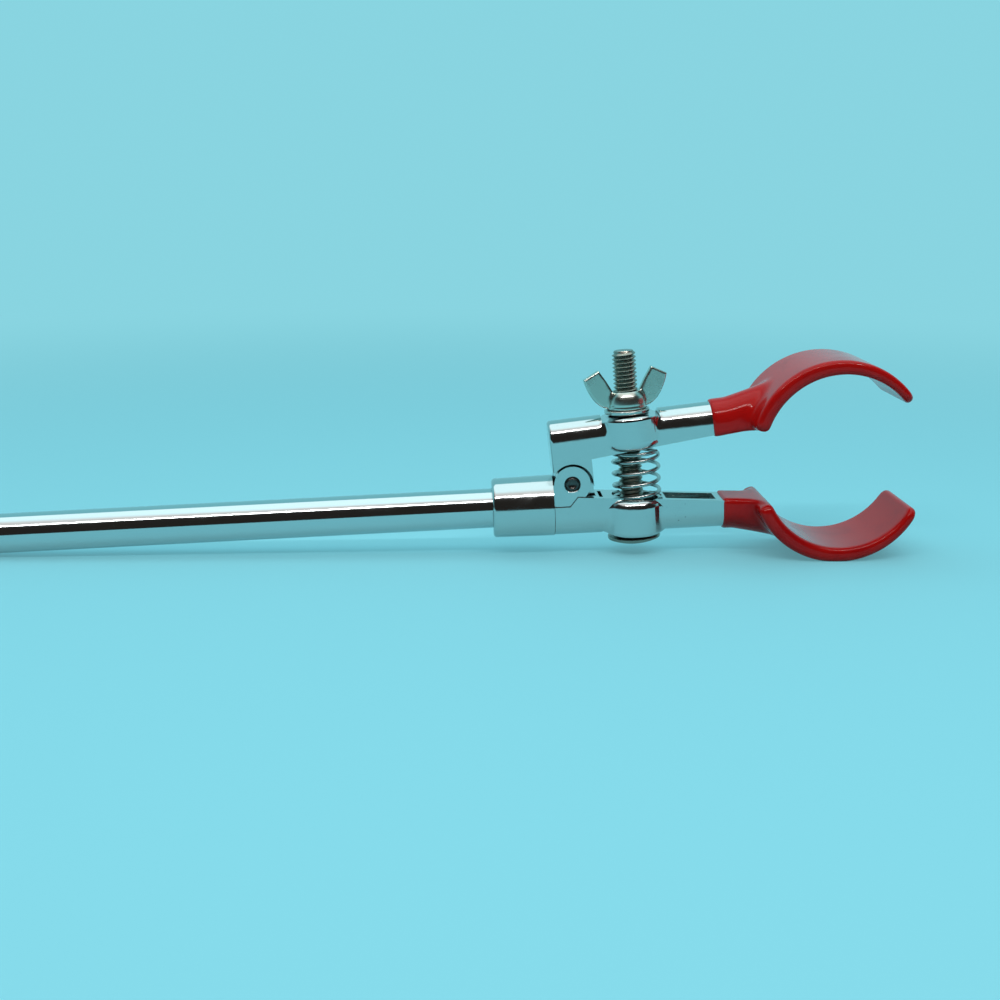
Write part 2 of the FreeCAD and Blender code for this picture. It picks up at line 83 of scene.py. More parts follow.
class Slot(str, Enum):
    """Material slots of the record; no piece in this script is given them."""

    COAT = "coat"
    FASTENER = "fastener"
    SPRING_WIRE = "spring_wire"


def mm(x: float, y: float, z: float) -> Vector:
    """A point given in millimetres, in metres."""
    return Vector((x, y, z)) * MM


# ---- shader nodes ----
class NodeTree:
    """Thin helper that adds and joins shader nodes."""

    def __init__(self, tree: bpy.types.NodeTree) -> None:
        """Work on one node tree.

        Args:
            tree: the tree of a material, a world or a group.
        """
        self.tree = tree

    def add(self, kind: str, inputs: dict[str | int, Any] | None = None, **settings: Any) -> bpy.types.Node:
        """Add a node.

        Args:
            kind: the node's type name without its ShaderNode prefix.
            inputs: values or output sockets for its inputs, by name or number.
            settings: attributes of the node.

        Returns:
            The new node.
        """
        node = self.tree.nodes.new("ShaderNode" + kind)
        for name, value in settings.items():
            setattr(node, name, value)
        for name, value in (inputs or {}).items():
            self.feed(node.inputs[name], value)
        return node

    def feed(self, socket: bpy.types.NodeSocket, value: Any) -> None:
        """Join an output to a socket, or set the socket's own value.

        Args:
            socket: the input.
            value: an output socket or a plain value.
        """
        if isinstance(value, bpy.types.NodeSocket):
            self.tree.links.new(value, socket)
        else:
            socket.default_value = value

    def math(self, operation: str, first: Any, second: Any = 0.0, clamp: bool = False) -> bpy.types.NodeSocket:
        """Output of a Math node.

        Args:
            operation: the name of the operation.
            first: first input.
            second: second input.
            clamp: keep the result between 0 and 1.

        Returns:
            The node's output socket.
        """
        return self.add("Math", {0: first, 1: second}, operation=operation, use_clamp=clamp).outputs[0]

    def span(self, value: Any, low: Any, high: float, to_low: float = 0.0,
             to_high: float = 1.0) -> bpy.types.NodeSocket:
        """Smoothly map a value from one span to another.

        Args:
            value: the input.
            low: start of its span.
            high: end of its span.
            to_low: result at the start.
            to_high: result at the end.

        Returns:
            The mapped value.
        """
        inputs = {"Value": value, "From Min": low, "From Max": high, "To Min": to_low, "To Max": to_high}
        return self.add("MapRange", inputs, interpolation_type="SMOOTHSTEP").outputs["Result"]

    def blend(self, factor: Any, first: Any, second: Any, mode: str = "MIX") -> bpy.types.NodeSocket:
        """Mix two colours.

        Args:
            factor: share of the second.
            first: first colour.
            second: second colour.
            mode: the kind of mix.

        Returns:
            The mixed colour.
        """
        node = self.add("Mix", data_type="RGBA", blend_type=mode)
        self.feed(node.inputs[0], factor)
        self.feed(node.inputs[6], first)
        self.feed(node.inputs[7], second)
        return node.outputs[2]


class EffectGroup:
    """A shader node group that several finishes share."""

    def __init__(self, name: str, inputs: dict[str, float], outputs: Iterable[str]) -> None:
        """Make the group with its sockets.

        Args:
            name: the group's name.
            inputs: number inputs and their defaults.
            outputs: names of the number outputs.
        """
        self.group = bpy.data.node_groups.new(name, "ShaderNodeTree")
        for title, value in inputs.items():
            socket = self.group.interface.new_socket(title, in_out="INPUT", socket_type="NodeSocketFloat")
            socket.default_value = value
        for title in outputs:
            self.group.interface.new_socket(title, in_out="OUTPUT", socket_type="NodeSocketFloat")
        self.nodes = NodeTree(self.group)
        self.entry = self.group.nodes.new("NodeGroupInput")
        self.exit = self.group.nodes.new("NodeGroupOutput")
        self.place = self.nodes.add("TexCoord").outputs["Object"]

    def noise(self, scale: Any, detail: float, roughness: float,
              distortion: float = 0.0) -> bpy.types.NodeSocket:
        """Noise on the piece's own coordinates.

        Args:
            scale: its scale, a value or a socket.
            detail: number of octaves.
            roughness: share of the finer octaves.
            distortion: how far it is warped.

        Returns:
            The noise, from 0 to 1.
        """
        inputs = {"Vector": self.place, "Scale": scale, "Detail": detail, "Roughness": roughness,
                  "Distortion": distortion}
        return self.nodes.add("TexNoise", inputs).outputs["Fac"]

    def put(self, title: str, value: Any) -> None:
        """Feed one output of the group."""
        self.nodes.feed(self.exit.inputs[title], value)


def make_cast_relief() -> bpy.types.NodeTree:
    """Slow waves, fine peel and scattered pits of a plated casting.

    Returns:
        The node group, with outputs Height, Pits and Smudge.
    """
    effect = EffectGroup("cast_relief",
                         {"Wave Scale": 180.0, "Wave Height": 1.0, "Peel Scale": 1600.0, "Peel Height": 0.05,
                          "Pit Scale": 900.0, "Pit Amount": 0.2},
                         ["Height", "Pits", "Smudge"])
    n = effect.nodes
    entry = effect.entry.outputs
    wave = effect.noise(entry["Wave Scale"], 2.0, 0.4)
    peel = effect.noise(entry["Peel Scale"], 2.0, 0.5)
    spots = n.add("TexVoronoi", {"Vector": effect.place, "Scale": entry["Pit Scale"], "Randomness": 1.0})
    patch = effect.noise(140.0, 3.0, 0.6)
    near = n.span(spots.outputs["Distance"], 0.05, 0.22, 1.0, 0.0)
    rare = n.span(patch, n.math("SUBTRACT", 0.72, n.math("MULTIPLY", entry["Pit Amount"], 0.3)), 0.75)
    pits = n.math("MULTIPLY", near, rare)
    height = n.math("ADD", n.math("MULTIPLY", wave, entry["Wave Height"]),
                    n.math("MULTIPLY", peel, entry["Peel Height"]))
    height = n.math("SUBTRACT", height, n.math("MULTIPLY", pits, 0.25))
    smudge = effect.noise(90.0, 5.0, 0.65, 0.8)
    effect.put("Height", height)
    effect.put("Pits", pits)
    effect.put("Smudge", n.span(smudge, 0.45, 0.75))
    return effect.group


def make_grime_and_painted_shade() -> bpy.types.NodeTree:
    """Dirt and painted shade where surfaces meet, darkest where ambient occlusion finds nearby surfaces.

    Returns:
        The node group, with the output Grime.
    """
    effect = EffectGroup("crevice_grime_and_painted_shade", {"Reach": 0.0012, "Amount": 1.0, "Breakup": 500.0}, ["GrimeAndShade"])
    n = effect.nodes
    entry = effect.entry.outputs
    # painted shade: ambient occlusion darkens gaps, creases and thread roots, together with some dirt
    cover = n.add("AmbientOcclusion", {"Distance": entry["Reach"]}, samples=12, only_local=False)
    noise = effect.noise(entry["Breakup"], 4.0, 0.6)
    open_share = n.math("ADD", cover.outputs["AO"], n.math("MULTIPLY", n.math("SUBTRACT", noise, 0.5), 0.35))
    grime_and_shade = n.span(open_share, 0.25, 0.62, 1.0, 0.0)
    effect.put("GrimeAndShade", n.math("MULTIPLY", grime_and_shade, entry["Amount"], clamp=True))
    return effect.group


def make_edge_wear() -> bpy.types.NodeTree:
    """Mask of worn corners.

    Returns:
        The node group, with the output Wear.
    """
    effect = EffectGroup("edge_wear", {"Radius": 0.0004, "Amount": 0.6}, ["Wear"])
    n = effect.nodes
    entry = effect.entry.outputs
    soft = n.add("Bevel", {"Radius": entry["Radius"]}, samples=6)
    sharp = n.add("NewGeometry")
    normals = {0: soft.outputs["Normal"], 1: sharp.outputs["Normal"]}
    facing = n.add("VectorMath", normals, operation="DOT_PRODUCT")
    bent = n.span(facing.outputs["Value"], 0.985, 0.86)
    wear = n.math("MULTIPLY", bent, n.span(effect.noise(420.0, 4.0, 0.6), 0.42, 0.62))
    effect.put("Wear", n.math("MULTIPLY", wear, entry["Amount"], clamp=True))
    return effect.group


@dataclass(frozen=True)
class Effects:
    """The shared shader groups."""

    relief: bpy.types.NodeTree
    # dirt and painted shade in crevices
    grime_and_shade: bpy.types.NodeTree
    wear: bpy.types.NodeTree

    @classmethod
    def make(cls) -> "Effects":
        """Build each group once."""
        return cls(make_cast_relief(), make_grime_and_painted_shade(), make_edge_wear())


@dataclass(frozen=True)
class Finish:
    """What every finish has: a name and a Principled shader."""

    name: str

    def start(self) -> tuple[bpy.types.Material, NodeTree, bpy.types.Node]:
        """Make an empty material.

        Returns:
            The material, its nodes and its Principled shader.
        """
        material = bpy.data.materials.new(self.name)
        material.use_nodes = True
        nodes = NodeTree(material.node_tree)
        return material, nodes, material.node_tree.nodes["Principled BSDF"]

    def effect(self, nodes: NodeTree, group: bpy.types.NodeTree, **values: float) -> bpy.types.Node:
        """Place a shared effect with its own values.

        Args:
            nodes: the material's nodes.
            group: the shared group.
            values: inputs, with underscores for the spaces of their names.

        Returns:
            The group node.
        """
        node = nodes.add("Group")
        node.node_tree = group
        for title, value in values.items():
            node.inputs[title.replace("_", " ")].default_value = value
        return node

    def bumped(self, nodes: NodeTree, relief: bpy.types.Node, depth: float) -> bpy.types.NodeSocket:
        """Normal of the finish's relief.

        Args:
            nodes: the material's nodes.
            relief: the placed relief effect.
            depth: height of the relief in metres.

        Returns:
            The bumped normal.
        """
        inputs = {"Height": relief.outputs["Height"], "Distance": depth, "Strength": 1.0}
        return nodes.add("Bump", inputs).outputs["Normal"]


@dataclass(frozen=True)
class PlatedMetal(Finish):
    """Bright plate on a casting, a bar or a fastener."""

    colour: Colour
    # colour of dirt in pits and of the painted shade that darkens crevices
    grime_and_shade_colour: Colour = (0.05, 0.045, 0.04, 1.0)
    wear_colour: Colour = (0.58, 0.52, 0.42, 1.0)
    roughness: float = 0.06
    smudge_roughness: float = 0.16
    wave_scale: float = 180.0
    wave_height: float = 1.0
    peel_scale: float = 1600.0
    peel_height: float = 0.05
    pit_amount: float = 0.2
    # reach and strength of the painted shade and dirt in crevices
    grime_and_shade_reach: float = 0.0012
    grime_and_shade_amount: float = 0.9
    wear_amount: float = 0.5
    bump_depth: float = 0.00002

    def make(self, effects: Effects) -> bpy.types.Material:
        """Build the material.

        Args:
            effects: the shared groups.

        Returns:
            The finished material.
        """
        material, nodes, shader = self.start()
        relief = self.effect(nodes, effects.relief, Wave_Scale=self.wave_scale, Wave_Height=self.wave_height,
                             Peel_Scale=self.peel_scale, Peel_Height=self.peel_height,
                             Pit_Amount=self.pit_amount)
        # mask of painted shade and dirt where surfaces meet, found by ambient occlusion
        grime_and_shade = self.effect(nodes, effects.grime_and_shade, Reach=self.grime_and_shade_reach, Amount=self.grime_and_shade_amount)
        wear = self.effect(nodes, effects.wear, Amount=self.wear_amount)
        colour = nodes.blend(wear.outputs["Wear"], self.colour, self.wear_colour)
        colour = nodes.blend(nodes.math("MULTIPLY", relief.outputs["Pits"], 0.8), colour, self.grime_and_shade_colour)
        # crevices and gaps are darkened: painted shade together with dirt
        colour = nodes.blend(grime_and_shade.outputs["GrimeAndShade"], colour, self.grime_and_shade_colour)
        added = self.smudge_roughness - self.roughness
        rough = nodes.math("ADD", self.roughness, nodes.math("MULTIPLY", relief.outputs["Smudge"], added))
        rough = nodes.math("ADD", rough, nodes.math("MULTIPLY", grime_and_shade.outputs["GrimeAndShade"], 0.4), clamp=True)
        nodes.feed(shader.inputs["Base Color"], colour)
        nodes.feed(shader.inputs["Metallic"], 1.0)
        nodes.feed(shader.inputs["Roughness"], rough)
        nodes.feed(shader.inputs["Normal"], self.bumped(nodes, relief, self.bump_depth))
        return material


@dataclass(frozen=True)
class DippedVinyl(Finish):
    """Soft glossy coat with slow runs and a few specks."""

    colour: Colour
    deep_colour: Colour
    roughness: float = 0.13
    bump_depth: float = 0.00003

    def make(self, effects: Effects) -> bpy.types.Material:
        """Build the material.

        Args:
            effects: the shared groups.

        Returns:
            The finished material.
        """
        material, nodes, shader = self.start()
        relief = self.effect(nodes, effects.relief, Wave_Scale=130.0, Wave_Height=1.0, Peel_Scale=700.0,
                             Peel_Height=0.01, Pit_Scale=500.0, Pit_Amount=0.1)
        grime_and_shade = self.effect(nodes, effects.grime_and_shade, Reach=0.0006, Amount=0.5)
        colour = nodes.blend(relief.outputs["Smudge"], self.colour, self.deep_colour)
        # the coat's creases are darkened: painted shade and dirt
        colour = nodes.blend(grime_and_shade.outputs["GrimeAndShade"], colour, (0.03, 0.004, 0.005, 1.0))
        rough = nodes.math("ADD", self.roughness, nodes.math("MULTIPLY", relief.outputs["Smudge"], 0.08))
        nodes.feed(shader.inputs["Base Color"], colour)
        nodes.feed(shader.inputs["Roughness"], rough)
        nodes.feed(shader.inputs["Normal"], self.bumped(nodes, relief, self.bump_depth))
        shader.inputs["Subsurface Weight"].default_value = 0.06
        shader.inputs["Subsurface Radius"].default_value = (1.0, 0.12, 0.1)
        shader.inputs["Subsurface Scale"].default_value = 0.0008
        shader.inputs["Specular IOR Level"].default_value = 0.2
        return material


@dataclass(frozen=True)
class Finishes:
    """One material for each finish of the clamp."""

    rod: bpy.types.Material
    casting: bpy.types.Material
    coat: bpy.types.Material
    washer: bpy.types.Material
    bolt: bpy.types.Material
    nut: bpy.types.Material
    pin: bpy.types.Material
    spring: bpy.types.Material

    @classmethod
    def make(cls) -> "Finishes":
        """Build all materials."""
        effects = Effects.make()
        rod = PlatedMetal("nickel_plated_bar", (0.60, 0.63, 0.63, 1.0), roughness=0.07, smudge_roughness=0.13,
                          wave_height=0.5, peel_height=0.03, pit_amount=0.1, wear_amount=0.2, grime_and_shade_amount=0.6)
        # the casting's crevice mask reaches far enough to paint shade into the hinge gaps
        casting = PlatedMetal("nickel_plated_casting", (0.58, 0.60, 0.59, 1.0), roughness=0.09,
                              smudge_roughness=0.19, wave_height=2.4, peel_height=0.10, pit_amount=0.5,
                              grime_and_shade_reach=0.0016, grime_and_shade_amount=1.0)
        washer = PlatedMetal("zinc_plated_steel", (0.58, 0.57, 0.53, 1.0), roughness=0.17, smudge_roughness=0.28,
                             wave_scale=300.0, wave_height=0.7, peel_height=0.12, pit_amount=0.3,
                             grime_and_shade_reach=0.0007)
        # the bolt's thread roots are darkened almost to black: painted shade and dirt
        bolt = PlatedMetal("worn_bolt_steel", (0.30, 0.28, 0.235, 1.0), grime_and_shade_colour=(0.010, 0.011, 0.009, 1.0),
                           wear_colour=(0.62, 0.53, 0.42, 1.0), roughness=0.24, smudge_roughness=0.38,
                           wave_scale=300.0, wave_height=0.7, peel_height=0.14, pit_amount=0.5,
                           grime_and_shade_reach=0.0011, grime_and_shade_amount=1.0, wear_amount=0.8)
        nut = PlatedMetal("plated_nut", (0.55, 0.58, 0.52, 1.0), roughness=0.25, smudge_roughness=0.34,
                          wave_scale=260.0, wave_height=0.9, peel_height=0.1, pit_amount=0.3, grime_and_shade_reach=0.0006)
        pin = PlatedMetal("dark_pin_steel", (0.10, 0.095, 0.09, 1.0), roughness=0.22, smudge_roughness=0.4,
                          pit_amount=0.6)
        spring = PlatedMetal("spring_wire_steel", (0.46, 0.47, 0.45, 1.0), roughness=0.14, smudge_roughness=0.26,
                             wave_scale=400.0, wave_height=0.6, pit_amount=0.1, grime_and_shade_reach=0.0008,
                             grime_and_shade_amount=1.0)
        coat = DippedVinyl("dipped_red_vinyl", (0.52, 0.006, 0.005, 1.0), (0.42, 0.004, 0.005, 1.0))
        return cls(rod.make(effects), casting.make(effects), coat.make(effects), washer.make(effects),
                   bolt.make(effects), nut.make(effects), pin.make(effects), spring.make(effects))


# ---- mesh helpers ----
def spun(points: list[tuple[float, float]], steps: int = 96, ring: bool = False) -> bmesh.types.BMesh:
    """Turn an outline of radius and height, in millimetres, about Z into a closed shell.

    Args:
        points: outline from one end of the axis to the other, or all round a ring's section.
        steps: number of segments.
        ring: join the last point to the first.

    Returns:
        A mesh about the Z axis.
    """
    mesh = bmesh.new()
    verts = [mesh.verts.new(mm(radius, 0.0, height)) for radius, height in points]
    pairs = list(zip(verts, verts[1:])) + ([(verts[-1], verts[0])] if ring else [])
    edges = [mesh.edges.new(pair) for pair in pairs]
    bmesh.ops.spin(mesh, geom=verts + edges, cent=(0, 0, 0), axis=(0, 0, 1), angle=2 * math.pi, steps=steps,
                   use_merge=True)
    bmesh.ops.remove_doubles(mesh, verts=mesh.verts, dist=1e-7)
    bmesh.ops.recalc_face_normals(mesh, faces=mesh.faces)
    return mesh


def joined(parts: Iterable[bmesh.types.BMesh]) -> bmesh.types.BMesh:
    """Put several meshes into one and free them.

    Args:
        parts: the meshes.

    Returns:
        One mesh that holds them all.
    """
    whole = bmesh.new()
    for part in parts:
        data = bpy.data.meshes.new("part")
        part.to_mesh(data)
        part.free()
        whole.from_mesh(data)
        bpy.data.meshes.remove(data)
    return whole


def smooth(mesh: bmesh.types.BMesh, passes: int, chosen: Callable[[Vector], bool] | None = None) -> None:
    """Relax vertices towards their neighbours.

    Args:
        mesh: the mesh, changed in place.
        passes: how often.
        chosen: tells by its place in millimetres whether a vertex takes part.
    """
    verts = [vert for vert in mesh.verts if chosen is None or chosen(vert.co / MM)]
    for _ in range(passes):
        bmesh.ops.smooth_vert(mesh, verts=verts, factor=0.5, use_axis_x=True, use_axis_y=True, use_axis_z=True)


def fill(mesh: bmesh.types.BMesh, passes: int, chosen: Callable[[Vector], bool]) -> None:
    """Raise hollows into a soft fillet, without sinking any vertex.

    Args:
        mesh: the mesh, changed in place.
        passes: how often.
        chosen: tells by its place in millimetres whether a vertex takes part.
    """
    rings = [(vert, [edge.other_vert(vert) for edge in vert.link_edges]) for vert in mesh.verts
             if chosen(vert.co / MM)]
    for _ in range(passes):
        mesh.normal_update()
        lifts = [max(0.0, (sum((near.co for near in around), Vector()) / len(around) - vert.co).dot(vert.normal))
                 for vert, around in rings]
        for (vert, _around), lift in zip(rings, lifts):
            vert.co += vert.normal * lift * 0.9


def fused(parts: Iterable[bmesh.types.BMesh], voxel: float) -> bmesh.types.BMesh:
    """Melt overlapping closed meshes into one skin.

    Args:
        parts: the meshes, which are freed.
        voxel: size of the skin's facets in millimetres.

    Returns:
        The skin.
    """
    whole = joined(parts)
    data = bpy.data.meshes.new("melt")
    whole.to_mesh(data)
    whole.free()
    holder = bpy.data.objects.new("melt", data)
    bpy.context.scene.collection.objects.link(holder)
    melt = holder.modifiers.new("melt", "REMESH")
    melt.mode = "VOXEL"
    melt.voxel_size = voxel * MM
    skin = bmesh.new()
    skin.from_object(holder, bpy.context.evaluated_depsgraph_get())
    bpy.data.objects.remove(holder)
    bpy.data.meshes.remove(data)
    return skin


def closed(mesh: bmesh.types.BMesh) -> bmesh.types.BMesh:
    """Fill a mesh's open ends and turn its faces outwards."""
    bmesh.ops.holes_fill(mesh, edges=[edge for edge in mesh.edges if edge.is_boundary])
    bmesh.ops.recalc_face_normals(mesh, faces=mesh.faces)
    return mesh


def finish_object(name: str, mesh: bmesh.types.BMesh, material: bpy.types.Material,
                  place: Matrix | None = None, smooth_deg: float = 35.0) -> bpy.types.Object:
    """Make an object at the origin from a mesh.

    Args:
        name: the piece's name.
        mesh: its mesh, which is freed.
        material: its finish.
        place: transform from the mesh's space to the object's frame.
        smooth_deg: faces that meet at less than this angle are shaded smooth.

    Returns:
        The new object.
    """
    if place is not None:
        bmesh.ops.transform(mesh, matrix=place, verts=mesh.verts)
        if place.determinant() < 0:
            bmesh.ops.reverse_faces(mesh, faces=mesh.faces)
    for face in mesh.faces:
        face.smooth = True
    for edge in mesh.edges:
        edge.smooth = len(edge.link_faces) == 2 and edge.calc_face_angle(0.0) < math.radians(smooth_deg)
    data = bpy.data.meshes.new(name)
    mesh.to_mesh(data)
    mesh.free()
    data.materials.append(material)
    piece = bpy.data.objects.new(name, data)
    bpy.context.scene.collection.objects.link(piece)
    return piece


def seat(piece: bpy.types.Object, body: Body, node: str) -> None:
    """Let a piece ride on its body in place of a node.

    Args:
        piece: the new piece.
        body: what it rides on.
        node: the solid that it stands for.
    """
    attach(piece, body.value)
    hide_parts(node)
    LOG.info("built %s in place of %s", piece.name, node)


def dress(node: bpy.types.Object, material: bpy.types.Material) -> None:
    """Give a carried-over solid its finish."""
    node.data.materials.clear()
    node.data.materials.append(material)
    LOG.info("dressed %s", node.name)


# ---- the clamp's pieces ----
@dataclass
class HingeStance:
    """Where the moving jaw stands: opened about the hinge pin."""

    pivot_x: float = 20.3
    pivot_z: float = 6.0
    open_deg: float = 4.2

    def opened(self) -> Matrix:
        """Turn from the parallel stance to the open pose."""
        to_pivot = Matrix.Translation(mm(self.pivot_x, 0, self.pivot_z))
        return to_pivot @ Matrix.Rotation(math.radians(-self.open_deg), 4, "Y") @ to_pivot.inverted()


@dataclass
class BoltLine:
    """The leaning line that the bolt, washer and nut stand on."""

    seat_x: float = 36.0
    seat_z: float = -8.5
    lean_deg: float = 1.8418
    washer_height: float = 31.5283
    washer_thickness: float = 1.0

    def place(self, height: float = 0.0, turn_deg: float = 0.0) -> Matrix:
        """Transform that stands a mesh built about Z on the line.

        Args:
            height: distance along the line from the seat, in millimetres.
            turn_deg: turn about the line.

        Returns:
            The transform.
        """
        lean = Matrix.Rotation(math.radians(-self.lean_deg), 4, "Y")
        turn = Matrix.Rotation(math.radians(turn_deg), 4, "Z")
        to_seat = Matrix.Translation(mm(self.seat_x, 0, self.seat_z))
        return to_seat @ lean @ Matrix.Translation(mm(0, 0, height)) @ turn


@dataclass
class ClampBolt:
    """Threaded bolt with a low domed head."""

    line: BoltLine
    major_radius: float = 3.0
    minor_radius: float = 2.42
    pitch: float = 1.0
    length: float = 47.2
    plain_length: float = 5.0
    tip_length: float = 0.8
    tip_cut: float = 0.7
    head_radius: float = 6.7
    head_rim: float = 0.8
    head_height: float = 2.3
    collar_radius: float = 5.6
    collar_height: float = 0.1
    steps: int = 48

    def thread(self) -> bmesh.types.BMesh:
        """Helical thread, cut flat and tapered at its tip.

        Returns:
            A closed mesh about Z.
        """
        mesh = bmesh.new()
        start = self.plain_length - self.pitch
        outline = [(self.minor_radius, 0.0), (self.minor_radius + 0.04, 0.10), (self.major_radius - 0.06, 0.41),
                   (self.major_radius, 0.47), (self.major_radius, 0.55), (self.major_radius - 0.06, 0.61),
                   (self.minor_radius + 0.04, 0.92), (self.minor_radius, 1.0)]
        verts = [mesh.verts.new(mm(r, 0, start + z * self.pitch)) for r, z in outline]
        edges = [mesh.edges.new(pair) for pair in zip(verts, verts[1:])]
        turns = math.ceil((self.length - start) / self.pitch) + 1
        steps = turns * self.steps
        bmesh.ops.spin(mesh, geom=verts + edges, cent=(0, 0, 0), axis=(0, 0, 1), angle=2 * math.pi * turns,
                       steps=steps, dvec=(0, 0, self.pitch * MM / self.steps))
        bmesh.ops.remove_doubles(mesh, verts=mesh.verts, dist=2e-6)
        for height, normal in ((self.plain_length, (0, 0, -1)), (self.length, (0, 0, 1))):
            bmesh.ops.bisect_plane(mesh, geom=mesh.verts[:] + mesh.edges[:] + mesh.faces[:], dist=1e-8,
                                   plane_co=mm(0, 0, height), plane_no=normal, clear_outer=True)
        for vert in mesh.verts:
            top = (vert.co.z / MM - (self.length - self.tip_length)) / self.tip_length
            limit = (self.major_radius - max(0.0, top) * self.tip_cut) * MM
            radius = math.hypot(vert.co.x, vert.co.y)
            if radius > limit:
                vert.co.x *= limit / radius
                vert.co.y *= limit / radius
        return closed(mesh)

    def head(self) -> bmesh.types.BMesh:
        """Low domed head with a shallow collar, and the plain start of the shank."""
        dome = self.head_height - self.head_rim
        ball = (self.head_radius ** 2 + dome ** 2) / (2 * dome)
        shank = self.major_radius - 0.1
        outline = [(0.0, self.plain_length), (self.minor_radius, self.plain_length),
                   (shank, self.plain_length - 0.6), (shank, self.collar_height + 0.3),
                   (shank + 0.3, self.collar_height), (self.collar_radius - 0.1, self.collar_height),
                   (self.collar_radius + 0.1, 0.0), (self.head_radius - 0.25, 0.0),
                   (self.head_radius - 0.07, -0.07), (self.head_radius, -0.25),
                   (self.head_radius, -self.head_rim + 0.2), (self.head_radius - 0.05, -self.head_rim + 0.05)]
        for step in range(9):
            radius = (self.head_radius - 0.12) * (1 - step / 8)
            outline.append((radius, -self.head_height + ball - math.sqrt(ball ** 2 - radius ** 2)))
        return spun(outline)

    def build(self, finishes: Finishes) -> None:
        """Make the bolt and set it on its body.

        Args:
            finishes: the clamp's materials.
        """
        piece = finish_object("clamp_bolt_threaded", joined([self.thread(), self.head()]), finishes.bolt,
                              self.line.place())
        seat(piece, Body.BOLT, "clamp_bolt")


@dataclass
class WingNut:
    """Wing nut with a domed hub that runs into two flat wings."""

    line: BoltLine
    bore_radius: float = 3.05
    base_radius: float = 4.9
    rim_height: float = 0.9
    dome_radius: float = 4.62
    dome_height: float = 2.9
    neck_radius: float = 3.55
    height: float = 4.6
    turn_deg: float = 6.0
    root_thickness: float = 2.3
    tip_thickness: float = 1.7
    wing_edge: float = 0.46
    voxel: float = 0.105
    passes: int = 3
    root_passes: int = 22
    root_span: tuple[float, float] = (3.3, 5.4)
    root_half_width: float = 2.4
    root_start: float = 1.2
    outline: tuple[tuple[float, float], ...] = (
        (3.5, 0.9), (4.9, 0.4), (5.9, 0.65), (6.9, 1.25), (7.95, 2.2), (8.9, 3.5), (9.65, 5.0), (10.25, 6.5),
        (10.7, 8.1), (6.75, 10.2), (4.95, 7.4), (3.65, 5.0), (3.5, 4.4))

    def hub(self) -> bmesh.types.BMesh:
        """Domed hub on its thin rim, with the bore."""
        section = [(self.bore_radius + 0.35, 0.0), (self.base_radius - 0.18, 0.0), (self.base_radius, 0.18),
                   (self.base_radius, self.rim_height - 0.15), (self.base_radius - 0.1, self.rim_height)]
        for share in (0.25, 0.5, 0.75):
            rise = self.rim_height + share * (self.dome_height - self.rim_height)
            section.append((self.base_radius - (self.base_radius - self.dome_radius) * share ** 1.6, rise))
        for share in (0.0, 0.35, 0.65, 0.88):
            rise = self.dome_height + share * (self.height - self.dome_height)
            section.append((self.dome_radius - (self.dome_radius - self.neck_radius) * share ** 1.5, rise))
        section += [(self.neck_radius, self.height), (self.bore_radius + 0.3, self.height),
                    (self.bore_radius, self.height - 0.3), (self.bore_radius, 0.35)]
        return spun(section, ring=True)

    def wing(self, side: int) -> bmesh.types.BMesh:
        """One wing, thinner towards its tip.

        Args:
            side: 1 or -1, the way that it points along X.

        Returns:
            A closed mesh about Z.
        """
        mesh = bmesh.new()
        verts = [mesh.verts.new(mm(side * across, -self.root_thickness / 2, up)) for across, up in self.outline]
        face = mesh.faces.new(verts)
        extruded = bmesh.ops.extrude_face_region(mesh, geom=[face])
        moved = [part for part in extruded["geom"] if isinstance(part, bmesh.types.BMVert)]
        bmesh.ops.translate(mesh, vec=mm(0, self.root_thickness, 0), verts=moved)
        bmesh.ops.recalc_face_normals(mesh, faces=mesh.faces)
        rim = [edge for edge in mesh.edges if edge.calc_face_angle(0.0) > math.radians(60)
               and abs(edge.verts[0].co.y - edge.verts[1].co.y) < self.voxel * MM]
        bmesh.ops.bevel(mesh, geom=rim, offset=self.wing_edge * MM, segments=4, profile=0.5, affect="EDGES",
                        material=-1)
        reach = max(across for across, _ in self.outline) - self.outline[0][0]
        for vert in mesh.verts:
            share = (abs(vert.co.x) / MM - self.outline[0][0]) / reach
            vert.co.y *= 1 - (1 - self.tip_thickness / self.root_thickness) * share
        return mesh

    def at_root(self, at: Vector) -> bool:
        """Whether a place in millimetres lies where a wing leaves the hub."""
        inner, outer = self.root_span
        beside = abs(at.y) < self.root_half_width and at.z > self.root_start
        return beside and inner < math.hypot(at.x, at.y) < outer

    def build(self, finishes: Finishes) -> None:
        """Make the nut and set it on its body.

        Args:
            finishes: the clamp's materials.
        """
        skin = fused([self.hub(), self.wing(1), self.wing(-1)], self.voxel)
        smooth(skin, self.passes)
        smooth(skin, self.root_passes, self.at_root)
        smooth(skin, self.passes)
        place = self.line.place(self.line.washer_height + self.line.washer_thickness, self.turn_deg)
        piece = finish_object("wing_nut_cast", skin, finishes.nut, place, 60.0)
        seat(piece, Body.WING_NUT, "wing_nut")


@dataclass
class HingePin:
    """Pin with dished, slightly rounded ends."""

    stance: HingeStance
    radius: float = 1.7
    half_length: float = 4.5

    def build(self, finishes: Finishes) -> None:
        """Make the pin and set it on the fixed jaw.

        Args:
            finishes: the clamp's materials.
        """
        end = [(0.0, 0.42), (0.35, 0.40), (0.75, 0.28), (1.0, 0.12), (1.15, 0.03), (1.3, 0.0), (1.5, 0.07),
               (1.64, 0.2), (self.radius, 0.38)]
        outline = [(radius, -self.half_length + dip) for radius, dip in end]
        outline += [(radius, self.half_length - dip) for radius, dip in reversed(end)]
        place = Matrix.Translation(mm(self.stance.pivot_x, 0, self.stance.pivot_z)) @ Matrix.Rotation(
            math.radians(90), 4, "X")
        piece = finish_object("hinge_pin_dished", spun(outline, 64), finishes.pin, place)
        seat(piece, Body.FRAME, "hinge_pin")


